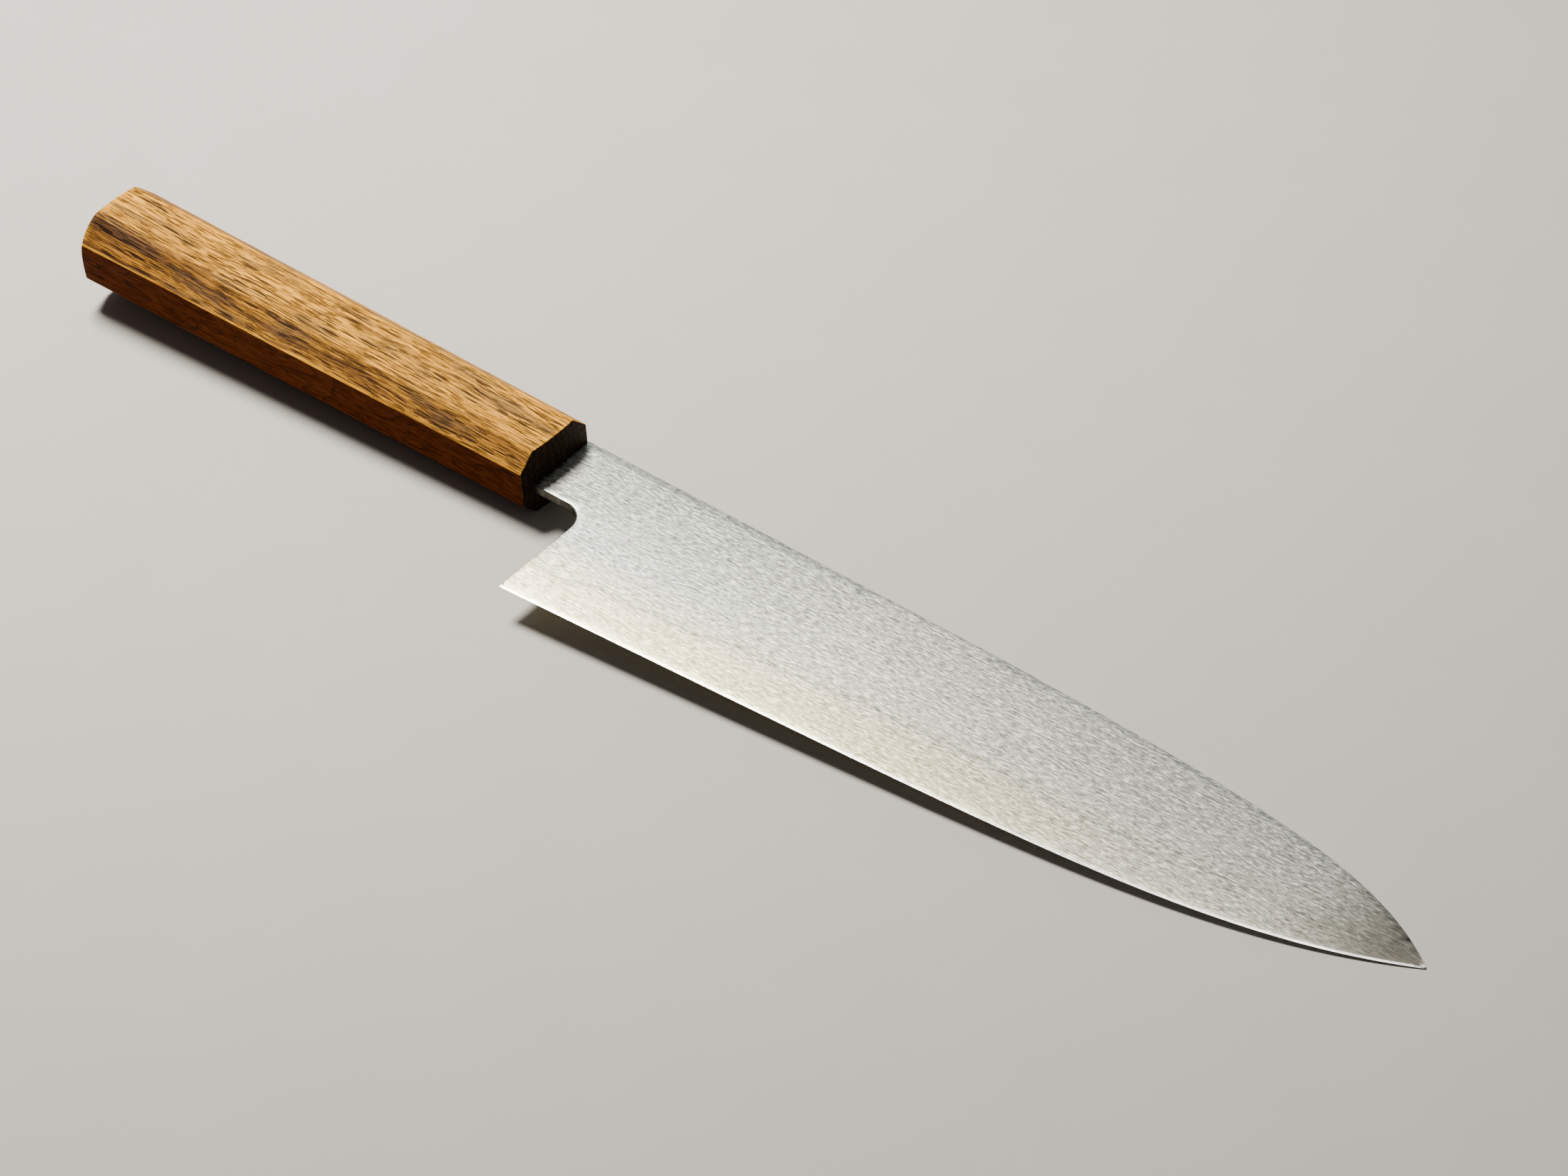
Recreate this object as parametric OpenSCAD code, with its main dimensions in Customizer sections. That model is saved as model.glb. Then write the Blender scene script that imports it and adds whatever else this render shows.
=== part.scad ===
// Chef's knife of the Japanese kind: a thin blade of three forge-welded layers, whose tang is glued
// into a slotted dowel inside a one-piece octagonal wooden handle with domed ends.
//
// Each piece is built along the knife's own axes. X runs from the handle towards the tip and is zero
// where the front face meets the handle's upper and lower flats. Y runs from the edge towards the
// spine, Z goes through the blade's thickness, and the handle's axis is Y = 0, Z = 0. Every piece is
// then laid down on its side in the same way: on the handle's front lower edge and on the tip.

/* [Blade] */
// Straight length of the cutting edge from heel to tip
edge_length = 240; // [210:1:270]
// Distance from the handle to the heel, which is the length of the finger notch
heel_x = 17; // [14:0.5:22]
// Height of the spine above the handle's axis, where the blade leaves the handle
spine_y = 11.6; // [10:0.1:11.6]
// Height of the heel, below the handle's axis
heel_y = -38.9; // [-44:0.1:-34]
// Height of the tip, below the handle's axis
tip_y = -9.2; // [-12:0.1:-6]
// Thickness of the spine at the handle
neck_t = 2.5; // [2:0.1:4]
// Thickness of the spine at the tip
tip_t = 0.5; // [0.4:0.1:1]
// Share of the blade's thickness that the hard core takes
core_share = 0.42; // [0.3:0.01:0.6]
// Height of the blade's mid plane above the handle's axis, as it was fitted by hand
blade_offset = -1; // [-1.5:0.1:1.5]

/* [Neck and finger notch] */
// Lower side of the neck, below the handle's axis
neck_y = -8.5; // [-9:0.1:-7]
// Radius of the notch's inner corner
notch_r = 6; // [3:0.5:8]

/* [Tang] */
// Length of the tang inside the handle
tang_length = 105; // [80:1:115]
// Width of the tang at the neck
tang_root_w = 11; // [9:0.5:11]
// Width of the tang at its end
tang_end_w = 7; // [5:0.5:8]
// Thickness of the tang
tang_t = 2.2; // [1.8:0.1:2.4]
// Glue around the tang on each side
glue_t = 0.3; // [0.2:0.1:0.4]

/* [Handle] */
// Length of the handle over both domed ends
handle_length = 145.5; // [130:0.5:155]
// Height of the handle at the blade, over the spine and edge flats
front_h = 23.3; // [23.3:0.1:25]
// Thickness of the handle at the blade
front_t = 18.4; // [17:0.1:20]
// Width of the corner cut at the blade, along each flat
front_cut = 4.35; // [3.5:0.05:5]
// Height of the handle at the butt
butt_h = 25.8; // [25:0.1:28]
// Thickness of the handle at the butt
butt_t = 21.7; // [20:0.1:24]
// Width of the corner cut at the butt, along each flat
butt_cut = 5.7; // [4.5:0.05:6.5]
// Radius of the domed front face
front_dome_r = 80; // [80:5:150]
// Radius of the domed butt
butt_dome_r = 100; // [80:5:150]
// Diameter of the dowel and of the bore that it is glued into
dowel_d = 13; // [12.5:0.1:14]
// Depth of the bore
bore_depth = 114; // [110:1:118]

/* [Hidden] */
$fn = 96;

// Blade outline
tip_x = heel_x + sqrt(pow(edge_length, 2) - pow(tip_y - heel_y, 2));
blade_end_x = tip_x - 0.4;      // the very point is stoned blunt
neck_seat_x = -0.5;             // the neck is let into the handle's face this far
spine_straight_x = 110;         // the spine starts to fall here
edge_bow = 12.5;                // rise of the edge's flat part, carried to the tip
spine_bow = 8;                  // fall of the spine's long gentle curve, carried to the tip
spine_drop_power = 7;           // how suddenly the spine drops to the tip
edge_belly_power = 6.4;         // how suddenly the edge rises to the tip

// Blade section
bevel_w = 0.9;                  // width of the sharpened micro-bevel
bevel_half_t = 0.14;            // half thickness where the micro-bevel starts
edge_half_t = 0.02;             // half thickness of the edge itself
bevel_share = 0.35;             // most of the blade's height that the micro-bevel may take
wedge_power = 1.8;              // 1 is a flat wedge, more is a convex one
taper_power = 1.6;              // how late along the blade the spine thins
neck_plateau = 0.42;            // share of the height that is still full thickness at the neck
blade_plateau = 0.06;           // and along the blade
plateau_fade_x = 45;            // where the one has become the other
face_levels = [0, 0.15, 0.3, 0.45, 0.6, 0.72, 0.84, 0.93, 1];
neck_stations = 8;
blade_stations = 26;
station_power = 1.5;            // how the stations draw together towards the tip

// Handle ends
front_apex_x = dome_drop(front_dome_r, front_t / 2);
butt_apex_x = front_apex_x - handle_length;
taper_reach = 5;                // the facet planes run past the domes
cross_reach = 60;               // more than the handle's width
bar_r = 25;                     // more than the handle's half width over its corners
dome_fn = 400;                  // the domes' arcs are long and flat
seat_gap = 0.05;                // hairline of glue around the let-in neck
cut_over = 1;                   // cutters run past what they cut

// How the knife lies
tip_half_t = blade_half_t(blade_end_x);
pitch = atan((front_t / 2 + blade_offset - tip_half_t) / blade_end_x);
lift_z = front_t / 2 * cos(pitch);
butt_reach_x = (butt_apex_x + butt_dome_r) * cos(pitch) - butt_dome_r;
tip_reach_x = blade_end_x * cos(pitch) + (blade_offset + tip_half_t) * sin(pitch);
centre_x = (butt_reach_x + tip_reach_x) / 2;
centre_y = (butt_h / 2 + heel_y) / 2;

// Depth of a sphere's cap at a distance from its axis
function dome_drop(radius, distance) = radius - sqrt(pow(radius, 2) - pow(distance, 2));

// Value at x on the straight line from the handle's front to its butt
function along_handle(front, butt, x) = front - (butt - front) * x / handle_length;

function clamp01(value) = max(0, min(1, value));
function smooth(value) = let(v = clamp01(value)) v * v * (3 - 2 * v);

// Height of the spine: straight, then a gentle bow that drops quickly at the tip
function spine_at(x) =
    let(u = clamp01((x - spine_straight_x) / (tip_x - spine_straight_x)))
    spine_y - spine_bow * pow(u, 2) - (spine_y - tip_y - spine_bow) * pow(u, spine_drop_power);

// Height of the edge: nearly straight from the heel, then the belly up to the tip
function edge_at(x) =
    let(v = (x - heel_x) / (tip_x - heel_x))
    heel_y + edge_bow * v + (tip_y - heel_y - edge_bow) * pow(max(v, 0), edge_belly_power);

// Half thickness of the spine, which thins towards the tip
function blade_half_t(x) =
    (tip_t + (neck_t - tip_t) * (1 - pow(clamp01(x / tip_x), taper_power))) / 2;
function core_half_t(x) = core_share * blade_half_t(x);

// Half thickness of the wedge at a share of the way from the spine to the bevel
function wedge_half_t(x, share) =
    let(plateau = neck_plateau + (blade_plateau - neck_plateau) * smooth(x / plateau_fade_x))
    let(down = clamp01((share - plateau) / (1 - plateau)))
    bevel_half_t + (blade_half_t(x) - bevel_half_t) * (1 - pow(down, wedge_power));

// One side of the blade's section at x, from the spine to the edge, as [height, half thickness]
function half_section(x) =
    let(top = spine_at(x), depth = top - edge_at(x), face = depth - min(bevel_w, bevel_share * depth))
    concat([for (share = face_levels) [top - face * share, wedge_half_t(x, share)]],
        [[top - depth, edge_half_t]]);

// Closed ring of points around the blade at x
function section_ring(x) =
    let(side = half_section(x), last = len(side) - 1)
    concat([for (p = side) [x, p[0], p[1]]],
        [for (k = [last:-1:0]) [x, side[k][0], -side[k][1]]]);

// Stations along the blade: even along the neck, then closer together towards the tip
stations = concat(
    [for (k = [0:neck_stations - 1])
        neck_seat_x + (plateau_fade_x - neck_seat_x) * k / neck_stations],
    [for (k = [0:blade_stations])
        blade_end_x - (blade_end_x - plateau_fade_x) * pow(1 - k / blade_stations, station_power)]);

// Lays a piece down on its side and brings the knife's footprint centre to the origin
module laid_down() {
    translate([-centre_x, -centre_y, lift_z]) rotate([0, pitch, 0]) children();
}

// Ground blade with its edge carried straight on over the finger notch
module ground_blank() {
    rings = [for (x = stations) section_ring(x)];
    size = len(rings[0]);
    last = len(rings) - 1;
    skin = [for (i = [0:last - 1], j = [0:size - 1])
        let(a = i * size + j, b = i * size + (j + 1) % size)
        each [[a, b, b + size], [a, b + size, a + size]]];
    strips = [for (j = [0:size / 2 - 2])
        each [[j, j + 1, size - 2 - j], [j, size - 2 - j, size - 1 - j]]];
    back_cap = strips;
    tip_cap = [for (t = strips) [t[0], t[2], t[1]] + last * size * [1, 1, 1]];
    polyhedron(points = [for (ring = rings) each ring], faces = concat(skin, back_cap, tip_cap),
        convexity = 4);
}

// Space of the finger notch between the heel and the handle, with its inner corner rounded
module notch_cut() {
    back = 10;                  // more than the neck's let-in end
    depth = neck_y - heel_y + back;
    translate([0, 0, -neck_t]) linear_extrude(height = 2 * neck_t) {
        translate([-back, neck_y - depth]) square([heel_x + back, depth - notch_r]);
        translate([-back, neck_y - depth]) square([heel_x + back - notch_r, depth]);
        translate([heel_x - notch_r, neck_y - notch_r]) circle(r = notch_r);
    }
}

// Tapered tang with a round end, slightly thinner than the neck
module tang_blank() {
    root_x = neck_seat_x + cut_over;
    end_r = tang_end_w / 2;
    linear_extrude(height = tang_t, center = true) {
        polygon([[root_x, tang_root_w / 2], [root_x, -tang_root_w / 2],
            [end_r - tang_length, -end_r], [end_r - tang_length, end_r]]);
        translate([end_r - tang_length, 0]) circle(r = end_r);
    }
}

// Whole blade with its tang, before it is told apart into layers
module forged_blank() {
    translate([0, 0, blade_offset]) {
        difference() {
            ground_blank();
            notch_cut();
        }
        tang_blank();
    }
}

// Slab between two heights that may change along the blade, each a list of [x, z] points
module layer_zone(low, high) {
    outline = concat(low, [for (k = [len(high) - 1:-1:0]) high[k]]);
    translate([0, 0, blade_offset]) rotate([90, 0, 0])
        linear_extrude(height = 2 * cross_reach, center = true) polygon(outline);
}

function core_face(side) = concat([[-handle_length, side * core_half_t(0)]],
    [for (x = stations) [x, side * core_half_t(x)]], [[tip_x + cut_over, side * core_half_t(tip_x)]]);
function beyond_face(side) = [[-handle_length, side * neck_t], [tip_x + cut_over, side * neck_t]];

// Room for the tang and its glue in the dowel
module tang_slot(front_x) {
    width = tang_root_w + 2 * glue_t;
    length = tang_length + glue_t;
    translate([-length, -width / 2, blade_offset - tang_t / 2 - glue_t])
        cube([length + front_x, width, tang_t + 2 * glue_t]);
}

// Shallow seat that the neck's end is let into
module neck_seat() {
    translate([neck_seat_x, neck_y - seat_gap, blade_offset - neck_t / 2 - seat_gap])
        cube([taper_reach, spine_y - neck_y + 2 * seat_gap, neck_t + 2 * seat_gap]);
}

// Solid between two opposite facets, which draw together towards the blade
module facet_pair(front_half, butt_half) {
    near_x = taper_reach;
    far_x = butt_apex_x - taper_reach;
    near = along_handle(front_half, butt_half, near_x);
    far = along_handle(front_half, butt_half, far_x);
    linear_extrude(height = cross_reach, center = true)
        polygon([[near_x, -near], [near_x, near], [far_x, far], [far_x, -far]]);
}

// Round bar with both ends domed, which the handle's facets are cut from
module domed_bar() {
    translate([butt_apex_x, 0, 0]) rotate([0, 90, 0]) rotate_extrude() intersection() {
        square([bar_r, handle_length]);
        translate([0, handle_length - front_dome_r]) circle(r = front_dome_r, $fn = dome_fn);
        translate([0, butt_dome_r]) circle(r = butt_dome_r, $fn = dome_fn);
    }
}

module handle_blank() {
    front_corner = (front_h / 2 + front_t / 2 - front_cut) / sqrt(2);
    butt_corner = (butt_h / 2 + butt_t / 2 - butt_cut) / sqrt(2);
    intersection() {
        facet_pair(front_h / 2, butt_h / 2);
        rotate([90, 0, 0]) facet_pair(front_t / 2, butt_t / 2);
        rotate([45, 0, 0]) facet_pair(front_corner, butt_corner);
        rotate([-45, 0, 0]) facet_pair(front_corner, butt_corner);
        domed_bar();
    }
}

module dowel_bore(front_x) {
    translate([-bore_depth, 0, blade_offset]) rotate([0, 90, 0])
        cylinder(d = dowel_d, h = bore_depth + front_x);
}

// Hard steel layer in the middle, which alone reaches the edge and the tip
module core_steel() {
    color("#b9bcbf") laid_down() intersection() {
        forged_blank();
        layer_zone(core_face(-1), core_face(1));
    }
}

// Soft layer on the face that looks up as the knife lies
module cladding_upper() {
    color("#d3d4d2") laid_down() intersection() {
        forged_blank();
        layer_zone(core_face(1), beyond_face(1));
    }
}

// Soft layer on the face that looks down
module cladding_lower() {
    color("#cfd0cf") laid_down() intersection() {
        forged_blank();
        layer_zone(beyond_face(-1), core_face(-1));
    }
}

// Hardened resin that fills the slot around the tang
module tang_adhesive() {
    color("#4a3a28") laid_down() difference() {
        tang_slot(neck_seat_x);
        forged_blank();
    }
}

// Wooden dowel, sawn open along its length for the tang
module tang_dowel() {
    color("#b98d58") laid_down() difference() {
        intersection() {
            dowel_bore(taper_reach);
            domed_bar();
        }
        tang_slot(taper_reach);
        neck_seat();
    }
}

// One-piece octagonal handle with domed ends, bored for the dowel
module handle_body() {
    color("#c79a60") laid_down() difference() {
        handle_blank();
        dowel_bore(taper_reach);
        neck_seat();
    }
}

core_steel();
cladding_upper();
cladding_lower();
tang_adhesive();
tang_dowel();
handle_body();
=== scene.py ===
import math

import bpy
import numpy as np
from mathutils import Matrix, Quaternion, Vector, geometry, noise


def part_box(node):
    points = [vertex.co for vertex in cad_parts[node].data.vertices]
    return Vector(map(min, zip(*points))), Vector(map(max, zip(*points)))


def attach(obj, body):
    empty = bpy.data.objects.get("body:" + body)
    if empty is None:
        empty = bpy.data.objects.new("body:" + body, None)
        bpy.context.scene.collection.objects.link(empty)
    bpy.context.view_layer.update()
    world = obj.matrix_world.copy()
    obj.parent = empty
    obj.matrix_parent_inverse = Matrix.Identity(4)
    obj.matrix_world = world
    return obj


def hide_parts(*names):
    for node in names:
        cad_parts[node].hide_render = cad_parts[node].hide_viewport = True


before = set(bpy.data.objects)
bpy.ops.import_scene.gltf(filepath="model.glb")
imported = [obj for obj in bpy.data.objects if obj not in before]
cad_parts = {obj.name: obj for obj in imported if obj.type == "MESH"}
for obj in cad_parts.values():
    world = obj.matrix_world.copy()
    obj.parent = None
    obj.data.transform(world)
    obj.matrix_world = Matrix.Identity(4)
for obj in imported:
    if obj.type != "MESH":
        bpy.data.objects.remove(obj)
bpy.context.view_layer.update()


# ---- The blade's blank, as it is ground -----------------------------------------------------
# The blade is forged from three layers, then ground to a thin convex wedge that tapers towards
# the tip. It is drawn in the knife's own axes in millimetres: x towards the tip from the handle's
# front face, y from edge to spine, z through the blade. The knife lies pitched down onto its tip.

HEEL_X = 17.0
HEEL_Y = -38.9
TIP_Y = -9.2
EDGE_LENGTH = 240.0
EDGE_RISE = 12.5
BELLY_POWER = 6.4
SPINE_Y = 11.6
SPINE_BOW_FROM = 110.0
SPINE_BOW = 8.0
SPINE_DROP_POWER = 7
NECK_T = 2.5
TIP_T = 0.5
TAPER_POWER = 1.6
WEDGE_POWER = 1.8
FLAT_AT_NECK = 0.42
FLAT_LOST = 0.36
FLAT_LOST_BY = 45.0
BEVEL_W = 0.9
BEVEL_SHARE = 0.35
BEVEL_HALF_T = 0.14
EDGE_HALF_T = 0.02
TANG_HALF_T = 1.1
NECK_END_X = -0.5
BLADE_OFFSET = -1.0
FRONT_T = 18.4

TIP_X = HEEL_X + math.sqrt(EDGE_LENGTH ** 2 - (TIP_Y - HEEL_Y) ** 2)
BLADE_END_X = TIP_X - 0.4
MM = 0.001


def clamp01(value):
    return np.clip(value, 0.0, 1.0)


def spine_at(x):
    """Height of the spine: straight, then a gentle bow that drops quickly at the tip."""
    u = clamp01((x - SPINE_BOW_FROM) / (TIP_X - SPINE_BOW_FROM))
    drop = SPINE_Y - TIP_Y - SPINE_BOW
    return SPINE_Y - SPINE_BOW * u ** 2 - drop * u ** SPINE_DROP_POWER


def edge_at(x):
    """Height of the edge: nearly straight from the heel, then the belly up to the tip."""
    v = (x - HEEL_X) / (TIP_X - HEEL_X)
    belly = TIP_Y - HEEL_Y - EDGE_RISE
    return HEEL_Y + EDGE_RISE * v + belly * np.maximum(v, 0.0) ** BELLY_POWER


def spine_half_t(x):
    return (TIP_T + (NECK_T - TIP_T) * (1.0 - clamp01(x / TIP_X) ** TAPER_POWER)) / 2.0


def bevel_height(x):
    return np.minimum(BEVEL_W, BEVEL_SHARE * (spine_at(x) - edge_at(x)))


def ground_half_t(x, y):
    """Half thickness of the blade as ground, before its corners are eased."""
    top = spine_at(x)
    bevel = bevel_height(x)
    share = (top - y) / np.maximum(top - edge_at(x) - bevel, 1e-6)
    fade = clamp01(x / FLAT_LOST_BY)
    plateau = FLAT_AT_NECK - FLAT_LOST * fade * fade * (3.0 - 2.0 * fade)
    down = clamp01((share - plateau) / (1.0 - plateau))
    face = BEVEL_HALF_T + (spine_half_t(x) - BEVEL_HALF_T) * (1.0 - down ** WEDGE_POWER)
    up_bevel = clamp01((y - edge_at(x)) / np.maximum(bevel, 1e-6))
    bevel_face = EDGE_HALF_T + (BEVEL_HALF_T - EDGE_HALF_T) * up_bevel
    blade = np.where(up_bevel < 1.0, np.minimum(face, bevel_face), face)
    return np.where(x < NECK_END_X - 0.01, TANG_HALF_T, blade)


# How the knife lies: its tip and the lower front edge of the handle touch the surface.
TIP_HALF_T = float(spine_half_t(np.float64(BLADE_END_X)))
PITCH = math.atan((FRONT_T / 2 + BLADE_OFFSET - TIP_HALF_T) / BLADE_END_X)
LIFT = FRONT_T / 2 * math.cos(PITCH)
core_low, core_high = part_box("core_steel")
CENTRE_X = (BLADE_END_X * math.cos(PITCH) + (BLADE_OFFSET + TIP_HALF_T) * math.sin(PITCH)
            - core_high.x / MM)
CENTRE_Y = HEEL_Y - core_low.y / MM


def laid(points):
    """Points in the knife's own axes, in millimetres, as they lie in the row frame, in metres."""
    p = np.asarray(points, float)
    c, s = math.cos(PITCH), math.sin(PITCH)
    return np.column_stack((c * p[:, 0] + s * p[:, 2] - CENTRE_X, p[:, 1] - CENTRE_Y,
                            -s * p[:, 0] + c * p[:, 2] + LIFT)) * MM


# ---- Outline of the blank and its surface mesh ----------------------------------------------
# One outline runs round the blade, the finger notch, the neck and the stick tang. It is filled
# with a fine mesh that has lines along everything that a grinder or a file leaves: the eased
# corners of spine and notch, the micro-bevel, and the wavy weld line of the layers.

NECK_Y = -8.5
NOTCH_R = 6.0
TANG_LENGTH = 105.0
TANG_ROOT_HALF_W = 5.5
TANG_END_R = 3.5
WELD_AT_HEEL = 9.0
WELD_RISE = 6.0
WELD_RISES_OVER = 70.0
WELD_FALL = 5.5
WELD_FALLS_FROM = 120.0
WELD_FALLS_OVER = 120.0
WELD_WAVINESS = 0.8
# Waves that the hammer leaves in the weld line: height, length for each radian, and phase.
WELD_WAVES = ((0.75, 5.3, 0.4), (0.5, 2.9, 1.7), (0.9, 17.0, 0.0), (0.25, 1.3, 0.0))


def evenly(start, stop, step):
    count = max(2, int(round(abs(stop - start) / step)) + 1)
    return np.linspace(start, stop, count)


def lamination_at(x):
    """Height of the weld line where the core comes out from under the cladding."""
    rise = clamp01((x - HEEL_X) / WELD_RISES_OVER)
    fall = clamp01((x - WELD_FALLS_FROM) / WELD_FALLS_OVER)
    above = WELD_AT_HEEL + WELD_RISE * rise - WELD_FALL * fall
    wave = sum(height * np.sin(x / length + phase) for height, length, phase in WELD_WAVES)
    depth = spine_at(x) - edge_at(x)
    room = clamp01(depth / 30.0)
    return edge_at(x) + np.minimum((above + wave * WELD_WAVINESS) * room, 0.5 * depth)


def notch_points():
    """The neck's lower side, the notch's round corner and the heel's back, from the handle on."""
    corner = Vector((HEEL_X - NOTCH_R, NECK_Y - NOTCH_R))
    neck = [(x, NECK_Y) for x in evenly(NECK_END_X, corner.x, 0.8)[:-1]]
    arc = [(corner.x + NOTCH_R * math.sin(a), corner.y + NOTCH_R * math.cos(a))
           for a in np.linspace(0.0, math.pi / 2, 17)]
    marks = [HEEL_Y + BEVEL_W, float(lamination_at(np.float64(HEEL_X)))]
    heights = sorted([*evenly(corner.y, HEEL_Y, 0.9)[1:], *marks], reverse=True)
    back = [(HEEL_X, y) for y in heights]
    return neck + arc + back


def offset_line(points, distance):
    """A line moved sideways, to the right of its direction."""
    p = np.asarray(points, float)
    along = np.gradient(p, axis=0)
    along /= np.linalg.norm(along, axis=1)[:, None]
    return p + np.column_stack((along[:, 1], -along[:, 0])) * np.asarray(distance)[:, None]


spine_x = evenly(NECK_END_X, BLADE_END_X, 1.2)
edge_x = evenly(BLADE_END_X, HEEL_X, 0.9)
spine_line = np.column_stack((spine_x, spine_at(spine_x)))
edge_line = np.column_stack((edge_x, edge_at(edge_x)))
notch_line = np.asarray(notch_points())
tang_end = [(TANG_END_R - TANG_LENGTH - TANG_END_R * math.sin(a), -TANG_END_R * math.cos(a))
            for a in np.linspace(0.0, math.pi, 13)]
tang_line = [(NECK_END_X, -TANG_ROOT_HALF_W), *tang_end, (NECK_END_X, TANG_ROOT_HALF_W)]
outline = np.vstack((spine_line, edge_line, notch_line[::-1][1:], tang_line))

EASE_R = 0.5
EASE_STEPS = (1.0, 0.5, 0.134)
EASE_SHARE = 0.42
EASE_ENDS_BEFORE_TIP = 3.0
EASE_FADES_OVER = 25.0


def ease_radius(x, y):
    fade = clamp01((BLADE_END_X - EASE_ENDS_BEFORE_TIP - x) / EASE_FADES_OVER)
    return np.minimum(EASE_R, EASE_SHARE * ground_half_t(x, y)) * fade


def distance_to_line(points, line):
    a, b = line[:-1], line[1:]
    ab = b - a
    gap = np.full(len(points), np.inf)
    for start, step in zip(a, ab):
        t = clamp01(((points - start) @ step) / max(step @ step, 1e-12))
        gap = np.minimum(gap, np.linalg.norm(points - start - t[:, None] * step, axis=1))
    return gap


def surface_half_t(x, y):
    """Half thickness with the corners of the spine, the neck and the notch eased round."""
    flat = ground_half_t(x, y)
    points = np.column_stack((x, y))
    gap = np.minimum(distance_to_line(points, spine_line), distance_to_line(points, notch_line))
    radius = np.maximum(ease_radius(x, y), 1e-5)
    inside = np.minimum(gap, radius)
    drop = radius - np.sqrt(np.maximum(radius ** 2 - (radius - inside) ** 2, 0.0))
    return np.where(x < NECK_END_X - 0.01, flat, np.maximum(flat - drop, EDGE_HALF_T * 0.9))


feature_lines = []
for share in EASE_STEPS:
    keep = spine_line[(spine_x > 0.0) & (spine_x < BLADE_END_X - 8.0)]
    radii = ease_radius(keep[:, 0], keep[:, 1]) * share
    feature_lines.append(offset_line(keep, radii))
    keep = notch_line[(notch_line[:, 0] > 0.0) & (notch_line[:, 1] > HEEL_Y + 1.2)]
    radii = ease_radius(keep[:, 0], keep[:, 1]) * share
    feature_lines.append(offset_line(keep, -radii))
bevel_x = edge_x[::-1]
bevel_line = np.column_stack((bevel_x, edge_at(bevel_x) + bevel_height(bevel_x)))
weld_x = evenly(HEEL_X, BLADE_END_X - 0.3, 0.8)
weld_line = np.column_stack((weld_x, lamination_at(weld_x)))
feature_lines += [bevel_line, weld_line]

FILL_DX = 1.8
FILL_DY = 1.45
CLEAR_OF_LINES = 0.75

fill = []
for row, y in enumerate(np.arange(HEEL_Y, SPINE_Y, FILL_DY)):
    for x in np.arange(FILL_DX / 2 * (row % 2), BLADE_END_X, FILL_DX):
        fill.append((x, y))
fill = np.asarray(fill)
inside = (fill[:, 1] < spine_at(fill[:, 0])) & (fill[:, 1] > edge_at(fill[:, 0]))
fill = fill[inside & ((fill[:, 0] > HEEL_X) | (fill[:, 1] > NECK_Y - NOTCH_R))]
for line in [outline, *feature_lines]:
    fill = fill[distance_to_line(fill, line) > CLEAR_OF_LINES]

flat_points = [Vector(p) for p in outline]
flat_edges = []
for line in feature_lines:
    first = len(flat_points)
    flat_points += [Vector(p) for p in line]
    flat_edges += [(first + k, first + k + 1) for k in range(len(line) - 1)]
flat_points += [Vector(p) for p in fill]
corners, _, triangles, _, _, _ = geometry.delaunay_2d_cdt(
    flat_points, flat_edges, [list(range(len(outline)))], 1, 1e-4)
corners = np.array([tuple(c) for c in corners])
triangles = np.array([t for t in triangles if len(t) == 3])
side = np.cross(corners[triangles[:, 1]] - corners[triangles[:, 0]],
                corners[triangles[:, 2]] - corners[triangles[:, 0]])
triangles = triangles[np.abs(side) > 1e-7]
side = side[np.abs(side) > 1e-7]
triangles[side < 0] = triangles[side < 0][:, ::-1]

CLADDING_MIN_T = 0.015

blank_x, blank_y = corners[:, 0], corners[:, 1]
blank_half_t = surface_half_t(blank_x, blank_y)
weld_y = lamination_at(np.maximum(blank_x, HEEL_X))
weld_half_t = ground_half_t(np.maximum(blank_x, HEEL_X), weld_y)
clad = (blank_y > weld_y + 1e-3) | (blank_x < HEEL_X - 1e-3)
core_half_t = np.where(clad, np.minimum(weld_half_t, blank_half_t - CLADDING_MIN_T), blank_half_t)


def layer_solid(name, faces, low, high):
    """Closed mesh of one steel layer between two heights over the same triangles."""
    used = np.unique(faces)
    meet = (high - low) < 1e-4
    upper = {v: k for k, v in enumerate(used)}
    lower = dict(upper)
    points = [(*corners[v], high[v] + BLADE_OFFSET) for v in used]
    for v in used:
        if not meet[v]:
            lower[v] = len(points)
            points.append((*corners[v], low[v] + BLADE_OFFSET))
    solid = [tuple(upper[v] for v in f) for f in faces]
    solid += [tuple(lower[v] for v in f[::-1]) for f in faces if not meet[f].all()]
    rim = {}
    for f in faces:
        for a, b in ((f[0], f[1]), (f[1], f[2]), (f[2], f[0])):
            rim[(a, b)] = rim.get((a, b), 0) + 1
    for a, b in rim:
        if (b, a) not in rim:
            wall = [upper[b], upper[a], lower[a], lower[b]]
            wall = [v for k, v in enumerate(wall) if v not in wall[:k]]
            if len(wall) > 2:
                solid.append(tuple(wall))
    made = finished_mesh(name, points, solid, sharp_angle=50)
    for label, line_at in (("above_edge", edge_at), ("above_weld", lamination_at)):
        above = made.data.attributes.new(label, "FLOAT", "POINT")
        above.data.foreach_set("value", [y - float(line_at(np.float64(x))) for x, y, _ in points])
    return made


def finished_mesh(name, points, faces, sharp_angle):
    """Mesh object in the row frame. Each point keeps its own place on the knife, in millimetres."""
    mesh = bpy.data.meshes.new(name)
    mesh.from_pydata([tuple(p) for p in laid(points)], [], faces)
    place = mesh.attributes.new("knife_mm", "FLOAT_VECTOR", "POINT")
    place.data.foreach_set("vector", np.asarray(points, np.float32).ravel())
    mesh.validate()
    mesh.polygons.foreach_set("use_smooth", [True] * len(mesh.polygons))
    mesh.set_sharp_from_angle(angle=math.radians(sharp_angle))
    made = bpy.data.objects.new(name, mesh)
    bpy.context.collection.objects.link(made)
    return made


# ---- Steel finishes --------------------------------------------------------------------------
# The faces are finished by hand on a belt and stones, along the blade, and left satin. The
# micro-bevel is honed brighter, with a painted highlight that grows towards the tip. The lower
# faces near the heel carry a painted warm highlight, and the notch walls and the last part of the
# tip a painted shade.

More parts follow.
